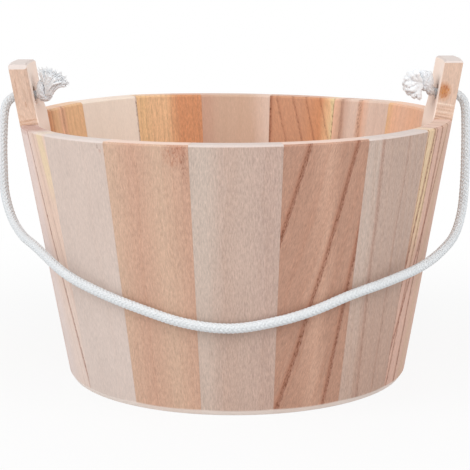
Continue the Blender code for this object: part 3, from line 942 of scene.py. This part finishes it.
def make_plain_staves(tree):
    for side, looks, direction in (("front", FRONT_LOOKS, 1), ("back", BACK_LOOKS, -1)):
        for number, look in looks.items():
            angle = pi + direction * number * STAVE_ANGLE
            look = {"paling": END_PALING[side], **look, "seed": number + FIRST_SEED[side]}
            material = wood_material(f"{side}_wood_{number}", grain_placing(angle), look)
            dips = (rim_dip(angle - STAVE_ANGLE / 2), rim_dip(angle + STAVE_ANGLE / 2))
            rough = turned_stave(f"rough_{side}_stave_{number}", angle, BODY_HEIGHT, tree, material, dips)
            stave = eased(rough, f"planed_{side}_stave_{number}", JOINT_ROUND, "ANGLE")
            dress(stave, "tub", "orange_stave" if number % 2 else "pale_stave", f"{side}_stave_{number}")


# Ear staves


def arc_points(centre, radii, start, end, steps):
    """Points of an elliptic arc in the outline's plane, angles in degrees."""
    points = []
    for step in range(steps + 1):
        angle = radians(start + (end - start) * step / steps)
        points.append((centre[0] + radii[0] * cos(angle), centre[1] + radii[1] * sin(angle)))
    return points


def half_width(height, dip):
    """Half an ear's width at a height above the rim, where the hollow shoulder narrows it."""
    below = max(0.0, BODY_HEIGHT + SHOULDER_RISE - height) / (SHOULDER_RISE + dip)
    return HALF_STAVE - (HALF_STAVE - POST_WIDTH / 2) * sqrt(1 - below ** 2)


def ear_outline(top, corners, dips):
    """Front view of an ear stave: full width up to the rim, a hollow shoulder, then the post."""
    half_post = POST_WIDTH / 2
    beyond = HALF_STAVE + WALL
    shoulder_centre = (HALF_STAVE, BODY_HEIGHT + SHOULDER_RISE)
    outline = []
    for side, corner, dip in zip((1, -1), corners, dips):
        points = [(beyond, -WALL), (beyond, BODY_HEIGHT - dip)]
        radii = (HALF_STAVE - half_post, SHOULDER_RISE + dip)
        points += arc_points(shoulder_centre, radii, 270, 180, SHOULDER_STEPS)
        points += [(half_post, top - corner), (half_post - corner, top), (half_post - corner, top + WALL)]
        outline += [(side * across, height) for across, height in (points if side > 0 else reversed(points))]
    return outline


def bmesh_object(name, bm):
    bmesh.ops.recalc_face_normals(bm, faces=bm.faces)
    mesh = bpy.data.meshes.new(name)
    bm.to_mesh(mesh)
    bm.free()
    return new_object(name, mesh)


def loft(name, rings):
    """A closed solid through rings of points that all have the same count."""
    bm = bmesh.new()
    corners = [[bm.verts.new(point) for point in ring] for ring in rings]
    bm.faces.new(corners[0])
    bm.faces.new(list(reversed(corners[-1])))
    for near, far in zip(corners, corners[1:]):
        for index in range(len(near)):
            after = (index + 1) % len(near)
            bm.faces.new((near[index], near[after], far[after], far[index]))
    return bmesh_object(name, bm)


def inner_face(height, across):
    """How far out the wall's inner face lies at a height and a distance across."""
    return sqrt(inner_radius(height) ** 2 - across ** 2)


def inner_edge_cutter(angle, front, top, width, dip):
    """What is shaved off a post's inner front edge to round it, running out in the shoulder."""
    turn = Matrix.Rotation(angle, 4, "Z")
    start = BODY_HEIGHT - dip + INNER_ROUND_START
    rings = []
    for step in range(INNER_ROUND_STEPS + 1):
        height = start + (top + CUTTER_CLEARANCE - start) * step / INNER_ROUND_STEPS
        share = min(1.0, (height - start) / (SHOULDER_RISE + dip))
        reach = INNER_ROUND_LEAST + width * share * share * (3 - 2 * share)
        half = half_width(height, dip)
        section = [(inner_face(height, half) + reach, half + CUTTER_CLEARANCE)]
        for quarter in range(QUARTER_STEPS + 1):
            bend = pi / 2 * quarter / QUARTER_STEPS
            across = half - reach * (1 - cos(bend))
            section.append((inner_face(height, across) + reach * (1 - sin(bend)), across))
        section.append((inner_face(height, half - reach) - CUTTER_CLEARANCE, half - reach))
        section.append((inner_face(height, half) - CUTTER_CLEARANCE, half + CUTTER_CLEARANCE))
        rings.append([turn @ Vector((radius, front * across, height)) for radius, across in section])
    return loft("inner_edge_cutter", rings)


def ear_cutter(angle, outline):
    """The ear's outline as a prism that runs out through the wall."""
    turn = Matrix.Rotation(angle, 4, "Z")
    depths = (FOOT_RADIUS / 2, RIM_RADIUS + BODY_HEIGHT)
    return loft("ear_cutter", [
        [turn @ Vector((depth, across, height)) for across, height in outline] for depth in depths])


def hole_cutter(angle):
    """The rope's hole, bored square to the leaning post."""
    middle = outer_radius(AXIS_HEIGHT) - WALL / 2
    placing = Matrix.Rotation(angle, 4, "Z") @ Matrix.Translation((middle, 0, AXIS_HEIGHT))
    placing = placing @ Matrix.Rotation(pi / 2 + LEAN, 4, "Y")
    bm = bmesh.new()
    bmesh.ops.create_cone(
        bm, cap_ends=True, segments=HOLE_SIDES, radius1=HOLE_RADIUS, radius2=HOLE_RADIUS, depth=3 * WALL,
        matrix=placing)
    return bmesh_object("hole_cutter", bm)


def mark_edges(mesh):
    """Give the post's edges their full round, and the joints below the rim a small one."""
    bm = bmesh.new()
    bm.from_mesh(mesh)
    bmesh.ops.remove_doubles(bm, verts=bm.verts, dist=MERGE_DISTANCE)
    bmesh.ops.dissolve_limit(bm, angle_limit=FLAT_ANGLE, verts=bm.verts, edges=bm.edges)
    weight = bm.edges.layers.float.new("bevel_weight_edge")
    for edge in bm.edges:
        if len(edge.link_faces) == 2 and edge.calc_face_angle(0) > SHARP_ANGLE:
            middle = (edge.verts[0].co + edge.verts[1].co) / 2
            above = middle.z > BODY_HEIGHT + POST_STARTS_ABOVE_RIM
            on_post = above and abs(middle.y) < POST_WIDTH / 2 + POST_MARGIN
            edge[weight] = 1.0 if on_post else JOINT_ROUND / POST_ROUND
    bm.to_mesh(mesh)
    bm.free()


def make_ears(tree):
    for seed, (side, angle, front, top) in enumerate(EARS, FIRST_SEED["ear"]):
        look = {**EAR_LOOKS[side], "seed": seed}
        material = wood_material(f"{side}_ear_wood", grain_placing(angle), look)
        blank = turned_stave(f"{side}_ear_blank", angle, top, tree, material)
        corners = (FRONT_CORNER[side], BACK_CORNER)
        dips = (rim_dip(angle + STAVE_ANGLE / 2), rim_dip(angle - STAVE_ANGLE / 2))
        cutters = (
            ear_cutter(angle, ear_outline(top, corners[::front], dips)), hole_cutter(angle),
            inner_edge_cutter(angle, front, top, INNER_ROUND[side], dips[0 if front > 0 else 1]))
        for cutter, operation in zip(cutters, ("INTERSECT", "DIFFERENCE", "DIFFERENCE")):
            cut = blank.modifiers.new("cut", "BOOLEAN")
            cut.operation = operation
            cut.solver = "EXACT"
            cut.object = cutter
        rough = baked(blank, f"rough_{side}_ear")
        for cutter in cutters:
            bpy.data.objects.remove(cutter, do_unlink=True)
        mark_edges(rough.data)
        ear = eased(rough, f"planed_ear_stave_{side}", POST_ROUND, "WEIGHT")
        give_material(ear, material)
        dress(ear, "tub", "ear_stave", f"ear_stave_{side}")


# Bottom, pins and dowels


def make_bottom_finishes():
    """The boards, pins and dowels keep their solids and get their wood."""
    turn = Matrix(((0, 1, 0), (0, 0, 1), (1, 0, 0)))
    for number in range(1, 5):
        low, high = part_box(f"bottom_board_{number}")
        shift = -(turn @ Vector((0, (low.y + high.y) / 2, low.z)))
        heart = number % 2 == 0
        look = dict(
            tones=((-26, "tan"), (-6, "salmon" if heart else "blush"), (18, "orange" if heart else "tan")),
            pith=(-14.0 + 9 * number, -50.0), ring_gap=4.5, ring_strength=0.3, ring_tint="red_brown",
            lean=0.02 * (number - 2), fibre=0.1, foot_paling_and_highlight=0.0,
            seed=number + FIRST_SEED["board"])
        material = wood_material(f"bottom_wood_{number}", (turn, shift), look)
        give_material(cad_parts[f"bottom_board_{number}"], material)
    bamboo = bamboo_material()
    for name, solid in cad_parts.items():
        if name.startswith(("stave_pin", "bottom_dowel")):
            give_material(solid, bamboo)


def bamboo_material():
    material, shader, nodes = new_material("split_bamboo")
    strands = nodes.noise(nodes.add("ShaderNodeTexCoord", output="Object"), scale=1600.0, detail=3)
    nodes.fill(shader, {
        "Base Color": nodes.mix(strands, linear("#C9AE74"), linear("#DCC591")),
        "Roughness": 0.45 + strands * 0.2,
        "Normal": nodes.bump(strands, strength=0.3, distance=0.0002),
    })
    return material


# Rope


def cotton_material(name, tint, shade, through=0.0):
    """Bleached cotton: the twist of its plies shows along each strand, with painted shade in the grooves
    between plies, and light goes through thin yarns.
    """
    material, shader, nodes = new_material(name)
    around = nodes.add("ShaderNodeAttribute", {"attribute_name": "around"}, output="Fac")
    along = nodes.add("ShaderNodeAttribute", {"attribute_name": "along"}, output="Fac")
    place = nodes.add("ShaderNodeTexCoord", output="Object")
    fluff = nodes.noise(place, scale=FLUFF_SCALE, detail=3, roughness=0.6)
    patches = nodes.noise(place, scale=PATCH_SCALE, detail=2)
    plies = nodes.maths("SINE", (around * PLIES + along * PLY_TURNS) * (2 * pi)) * 0.5 + 0.5
    # Painted shade in the grooves between plies, together with random fluff, darkens the cotton towards its
    # shade tint
    groove_shade_and_fluff = (1 - plies) * 0.5 + (1 - fluff) * 0.5
    nodes.fill(shader, {
        "Base Color": nodes.mix(groove_shade_and_fluff * 0.5 + patches * 0.1, linear(tint), linear(shade)),
        "Roughness": 0.82 + fluff * 0.12,
        "Normal": nodes.bump(plies * 0.7 + fluff * 0.5, strength=0.6, distance=0.0002),
        "Specular IOR Level": 0.15,
        "Sheen Weight": 0.15,
        "Sheen Roughness": 0.5,
        "Subsurface Weight": through,
        "Subsurface Radius": (1.0, 1.0, 1.0),
        "Subsurface Scale": 0.0015,
    })
    return material


def smooth_through(points):
    """A centripetal Catmull-Rom curve through the points."""
    points = [Vector(point) for point in points]
    padded = [2 * points[0] - points[1], *points, 2 * points[-1] - points[-2]]
    curve = []
    for a, b, c, d in zip(padded, padded[1:], padded[2:], padded[3:]):
        knot_b = sqrt((b - a).length)
        knot_c = knot_b + sqrt((c - b).length)
        knot_d = knot_c + sqrt((d - c).length)
        for step in range(CURVE_STEPS):
            t = knot_b + (knot_c - knot_b) * step / CURVE_STEPS
            ab = a.lerp(b, t / knot_b)
            bc = b.lerp(c, (t - knot_b) / (knot_c - knot_b))
            cd = c.lerp(d, (t - knot_c) / (knot_d - knot_c))
            abc = ab.lerp(bc, t / knot_c)
            bcd = bc.lerp(cd, (t - knot_b) / (knot_d - knot_b))
            curve.append(abc.lerp(bcd, (t - knot_b) / (knot_c - knot_b)))
    curve.append(points[-1])
    return curve


def path_curve(name, points, width):
    """An open curve through the points; the width is a share of the rope's own."""
    curve = bpy.data.curves.new(name, "CURVE")
    curve.dimensions = "3D"
    curve.twist_mode = "MINIMUM"
    spline = curve.splines.new("POLY")
    spline.points.add(len(points) - 1)
    for corner, point in zip(spline.points, points):
        corner.co = (*point, 1)
        corner.radius = width
    return curve


def strand_section(nodes, thickness, width, sides):
    """A flattened round section that remembers how far round it each corner lies."""
    circle = nodes.add("GeometryNodeCurvePrimitiveCircle", None, {"Resolution": sides, "Radius": 0.5})
    marked = nodes.store(circle, "around", nodes.add("GeometryNodeInputIndex") / sides)
    return nodes.add("GeometryNodeTransform", None, {
        "Geometry": marked, "Scale": nodes.combine(thickness, width, 1.0)})


def braid_tree():
    """A braided rope along a curve: two families of strands that cross over two and under two."""
    nodes, entry, given = geometry_tree("braid", {
        "Radius": ROPE_RADIUS, "Lay": BRAID_LAY, "Strand Width": STRAND_WIDTH,
        "Strand Thickness": STRAND_THICKNESS, "Weave Depth": BRAID_DEPTH, "Step": STRAND_STEP})
    half = BRAID_STRANDS // 2
    even = nodes.resampled(entry, Length=given("Step"))
    copies = nodes.copies(even, BRAID_STRANDS)
    index = copies.other("Duplicate Index")
    sense = 1 - 2 * nodes.maths("MODULO", index, 2.0)
    slot = nodes.maths("FLOOR", index / 2)
    length = nodes.add("GeometryNodeSplineParameter", output="Length")
    angle = sense * (2 * pi) * length / given("Lay") + slot * (2 * pi / half)
    weave = sense * nodes.maths("COSINE", angle * (half / 2) + pi / 4) * sqrt(2)
    normal = nodes.add("GeometryNodeInputNormal")
    binormal = nodes.vector("CROSS_PRODUCT", nodes.add("GeometryNodeInputTangent"), normal)
    outwards = nodes.total(
        nodes.scaled(normal, nodes.maths("COSINE", angle)),
        nodes.scaled(binormal, nodes.maths("SINE", angle)))
    width = nodes.add("GeometryNodeInputRadius")
    depth = given("Weave Depth")
    ride = given("Radius") - given("Strand Thickness") * 0.5 - depth + weave * depth
    kept = nodes.store(copies, "outwards", outwards, "FLOAT_VECTOR")
    kept = nodes.store(kept, "along", length + index * STRAND_SHIFT)
    outwards = nodes.stored("outwards", "FLOAT_VECTOR")
    moved = nodes.add("GeometryNodeSetPosition", None, {
        "Geometry": kept, "Offset": nodes.scaled(outwards, ride * width)})
    facing = nodes.add("GeometryNodeSetCurveNormal", {"mode": "FREE"}, {
        "Curve": moved, "Normal": nodes.scaled(outwards, -1.0)})
    section = strand_section(nodes, given("Strand Thickness"), given("Strand Width"), STRAND_SIDES)
    strands = nodes.swept(facing, section, width)
    core_section = nodes.add("GeometryNodeCurvePrimitiveCircle", None, {
        "Resolution": CORE_SIDES, "Radius": given("Radius") - given("Strand Thickness") * CORE_INSET})
    core = nodes.swept(even, core_section, width)
    return close_tree(nodes, nodes.join(strands, core), given("Material"))


def braid(name, points, tree, material, width=1.0):
    return grow(name, path_curve(name, points, width), tree, {"Material": material})


def knot_centre(side):
    standoff = (KNOT_RADIUS + KNOT_GAP + KNOT_LIFT * sin(LEAN)) / cos(LEAN)
    return Vector((side * (inner_radius(AXIS_HEIGHT) - standoff), 0, AXIS_HEIGHT + KNOT_LIFT))


def rope_end(side):
    return Vector((knot_centre(side).x + side * (KNOT_RADIUS + KNOT_GAP), 0, AXIS_HEIGHT))


def knot_way(side, inwards, forwards, upwards):
    """A way in metres from millimetres inwards, forwards and upwards at a knot."""
    return Vector((-side * inwards, -forwards, upwards)) / MILLIMETRES


# Turns of each stopper knot, from the rope's end: through the middle, back round the outside, out as the tail
LEFT_TURNS = (
    (-1.0, 0.0, 0.0), (1.6, 0.0, 0.4), (4.6, -0.4, 2.4), (8.0, -1.2, 4.2), (9.8, -3.6, 4.6),
    (8.6, -5.8, 4.4), (6.4, -5.2, 5.4), (5.0, -3.4, 7.2), (4.0, 0.0, 7.8), (3.6, 3.6, 6.3),
    (3.5, 5.0, 3.2), (3.8, 4.4, 0.2), (5.2, 2.8, -1.4), (7.4, 2.4, -1.4), (9.0, 2.4, 0.4),
)
RIGHT_TURNS = (
    (-1.0, 0.0, 0.0), (2.2, 0.0, 1.8), (5.4, -0.2, 4.6), (9.0, -1.4, 6.6), (10.6, -4.0, 8.0),
    (8.9, -5.2, 10.2), (7.8, -2.4, 12.4), (7.6, 1.6, 12.2), (7.0, 4.8, 8.8), (5.3, 5.3, 5.1),
    (3.8, 4.2, 2.2), (3.5, 0.4, 0.9), (3.5, -4.0, 3.0), (3.9, -4.9, 7.0), (4.6, -3.0, 10.8),
    (4.7, 0.8, 12.0), (4.4, 4.0, 9.8), (4.4, 5.0, 6.2), (6.2, 4.4, 4.2), (8.8, 2.6, 4.6),
    (10.6, 1.2, 6.2),
)
KNOTTED_WIDTH = 0.84

# The frayed ends: Root and Lead in millimetres from the rope's end, the rest in metres and radians
LEFT_FRAY = {
    "Yarns": 180, "Points": 14, "Yarn Radius": 0.00033, "Root": (8.7, 2.3, 1.0), "Root Radius": 0.0027,
    "Lead": (0.4, 0.4, 5.0), "First Angle": radians(107), "Last Angle": radians(23),
    "First Length": 0.0175, "Last Length": 0.0124, "Shortest": 0.88, "Depth": 0.0036,
    "Wave": 0.0002, "Core": 0.82, "Core Radius": 0.00085, "Seed": 5,
}
RIGHT_FRAY = {
    "Yarns": 190, "Points": 18, "Yarn Radius": 0.00024, "Root": (9.4, 1.2, 6.6), "Root Radius": 0.0026,
    "Lead": (3.0, 0.5, 2.0), "First Angle": radians(68), "Last Angle": radians(-76),
    "First Length": 0.0094, "Last Length": 0.0106, "Shortest": 0.90, "Depth": 0.0050,
    "Wave": 0.0004, "Core": 0.80, "Core Radius": 0.0017, "Seed": 11,
}


def frayed_tree():
    """Loose yarns that leave a rope's end together and fan out round a soft core."""
    nodes, _, given = geometry_tree("frayed_end", {
        **LEFT_FRAY, "Root": ORIGIN, "Lead": ORIGIN, "Inwards": ORIGIN})
    line = nodes.add("GeometryNodeCurvePrimitiveLine")
    even = nodes.resampled(line, Count=given("Points"))
    yarns = nodes.copies(even, given("Yarns"))
    index = yarns.other("Duplicate Index")
    along = nodes.add("GeometryNodeSplineParameter")

    def draw(low, high, offset):
        """A number for each yarn, from its own draw."""
        return nodes.add("FunctionNodeRandomValue", {"data_type": "FLOAT"}, {
            2: low, 3: high, 7: index, 8: given("Seed") + offset}, 1)

    def wave(speed, phase):
        return nodes.maths("SINE", along * draw(*WAVE_SPEED, speed) + draw(*WAVE_PHASE, phase))

    share = (index + draw(*FAN_SCATTER, 1)) / given("Yarns")
    first = given("First Angle")
    angle = first + (given("Last Angle") - first) * share
    short = given("First Length")
    length = (short + (given("Last Length") - short) * share) * draw(given("Shortest"), LONGEST, 2)
    deep = draw(-1.0, 1.0, 3) * given("Depth")
    level = given("Inwards")
    tip = nodes.total(
        nodes.scaled(level, nodes.maths("COSINE", angle) * length),
        nodes.scaled((0.0, 0.0, 1.0), nodes.maths("SINE", angle) * length), nodes.combine(0.0, deep, 0.0))
    bend = nodes.total(given("Lead"), nodes.scaled(tip, TIP_PULL))
    spread = nodes.total(
        nodes.scaled(level, draw(*ROOT_SCATTER, 4) * given("Root Radius")),
        nodes.combine(0.0, deep / given("Depth") * given("Root Radius"), 0.0))
    ripple = nodes.combine(wave(5, 6), wave(7, 8), wave(9, 10))
    place = nodes.total(
        nodes.total(given("Root"), spread), nodes.scaled(bend, along * (1 - along) * 2),
        nodes.scaled(tip, along * along), nodes.scaled(ripple, along * given("Wave")))
    moved = nodes.add("GeometryNodeSetPosition", None, {"Geometry": yarns, "Position": place})
    marked = nodes.store(moved, "along", along * YARN_TWIST + index * YARN_SHIFT)
    thickness = given("Yarn Radius") * 2
    tapering = draw(*YARN_THICKNESS, 11) * (1 - along ** TAPER_POWER * TIP_TAPER)
    mesh = nodes.swept(marked, strand_section(nodes, thickness, thickness, YARN_SIDES), tapering)
    inner = nodes.add("GeometryNodeTrimCurve", {"mode": "FACTOR"}, {"Curve": moved, "End": given("Core")})
    balls = nodes.add("GeometryNodeCurveToPoints", {"mode": "COUNT"}, {"Curve": inner, "Count": BALLS})
    cloud = nodes.add("GeometryNodePointsToVolume", {"resolution_mode": "VOXEL_SIZE"}, {
        "Points": balls, "Voxel Size": BALL_VOXEL, "Radius": given("Core Radius")})
    wad = nodes.add("GeometryNodeVolumeToMesh", None, {"Volume": cloud})
    return close_tree(nodes, nodes.join(mesh, wad), given("Material"))


def frayed_end(name, side, tree, material, values):
    """One frayed end: its yarns grow from nothing but the tree, so the source holds a single point."""
    data = bpy.data.meshes.new(name)
    data.from_pydata([(0, 0, 0)], [], [])
    return grow(name, data, tree, {
        **values, "Root": rope_end(side) + knot_way(side, *values["Root"]),
        "Lead": knot_way(side, *values["Lead"]), "Inwards": (-side, 0.0, 0.0), "Material": material})


def make_handle():
    """The rope from knot to knot, its two stopper knots and their frayed ends."""
    rope_tree = braid_tree()
    end_tree = frayed_tree()
    cotton = cotton_material("braided_cotton", "#E2E5E7", "#C5C9CC")
    # The knots and frayed ends take paler copies of the rope's cotton: painted light that lifts the shade
    # between their turns and yarns
    knotted = cotton_material("knotted_cotton_painted_light", "#F2F4F7", "#E2E5EA", 0.2)
    loose = cotton_material("loose_cotton_painted_light", "#F2F5F8", "#E6EAEE", 0.5)
    centre = smooth_through([rope_end(-1), *ROPE_ROUTE, rope_end(1)])
    rope = braid("braided_handle", centre, rope_tree, cotton)
    dress(rope, "handle", "cotton_rope", "handle_rope")
    for side, label, turns in ((-1, "left", LEFT_TURNS), (1, "right", RIGHT_TURNS)):
        path = smooth_through([rope_end(side) + knot_way(side, *point) for point in turns])
        knot = braid(f"{label}_stopper_knot", path, rope_tree, knotted, KNOTTED_WIDTH)
        dress(knot, "handle", "cotton_rope", f"rope_knot_{label}")
    for side, label, fray in ((-1, "left", LEFT_FRAY), (1, "right", RIGHT_FRAY)):
        end = frayed_end(f"{label}_frayed_end", side, end_tree, loose, fray)
        dress(end, "handle", "cotton_rope", f"rope_end_{label}")
    length = sum((after - before).length for before, after in zip(centre, centre[1:]))


make_handle()
staves = stave_tree()
make_plain_staves(staves)
make_ears(staves)
make_bottom_finishes()


# Floor and light


def ray_share(nodes):
    """1 for what the camera sees, straight, mirrored or through glass."""
    rays = nodes.add("ShaderNodeLightPath")
    seen = rays.other("Is Camera Ray") + rays.other("Is Glossy Ray") + rays.other("Is Transmission Ray")
    return nodes.maths("MINIMUM", seen, 1.0)


def make_floor():
    """A pale floor that glows white for the camera but keeps the bucket's shadow."""
    corners = [(x * FLOOR_HALF, y * FLOOR_HALF, 0) for x, y in ((-1, -1), (1, -1), (1, 1), (-1, 1))]
    mesh = bpy.data.meshes.new("floor")
    mesh.from_pydata(corners, [], [(0, 1, 2, 3)])
    material, shader, nodes = new_material("white_floor")
    nodes.fill(shader, {"Base Color": FLOOR_COLOUR, "Roughness": 1.0, "Specular IOR Level": 0.0})
    glow = nodes.add("ShaderNodeEmission", None, {"Color": WHITE, "Strength": 1.0})
    distance = nodes.vector("LENGTH", nodes.add("ShaderNodeTexCoord", output="Object")).other("Value")
    away = nodes.smooth(distance, *SHADOW_REACH)
    both = nodes.add("ShaderNodeMixShader", None, {
        0: ray_share(nodes) * away.at_least(FLOOR_WHITENESS), 1: Socket(nodes, shader.outputs[0]), 2: glow})
    nodes.fill(nodes.tree.nodes["Material Output"], {"Surface": both})
    mesh.materials.append(material)
    floor = new_object("floor", mesh)


def light_studio():
    """White surroundings for the camera, a plain level of light from them, and three soft lamps."""
    world = bpy.data.worlds.new("studio")
    world.use_nodes = True
    bpy.context.scene.world = world
    nodes = Nodes(world.node_tree)
    nodes.fill(world.node_tree.nodes["Background"], {
        "Color": WHITE, "Strength": ray_share(nodes).at_least(WORLD_LIGHT)})
    for name, place, size, power in LAMPS:
        data = bpy.data.lights.new(name, "AREA")
        data.shape = "DISK"
        data.size = size
        data.energy = power
        lamp = new_object(name, data)
        lamp.location = place
        lamp.rotation_euler = (LAMP_AIM - lamp.location).to_track_quat("-Z", "Y").to_euler()


make_floor()
light_studio()
bpy.context.scene.view_settings.view_transform = "Standard"
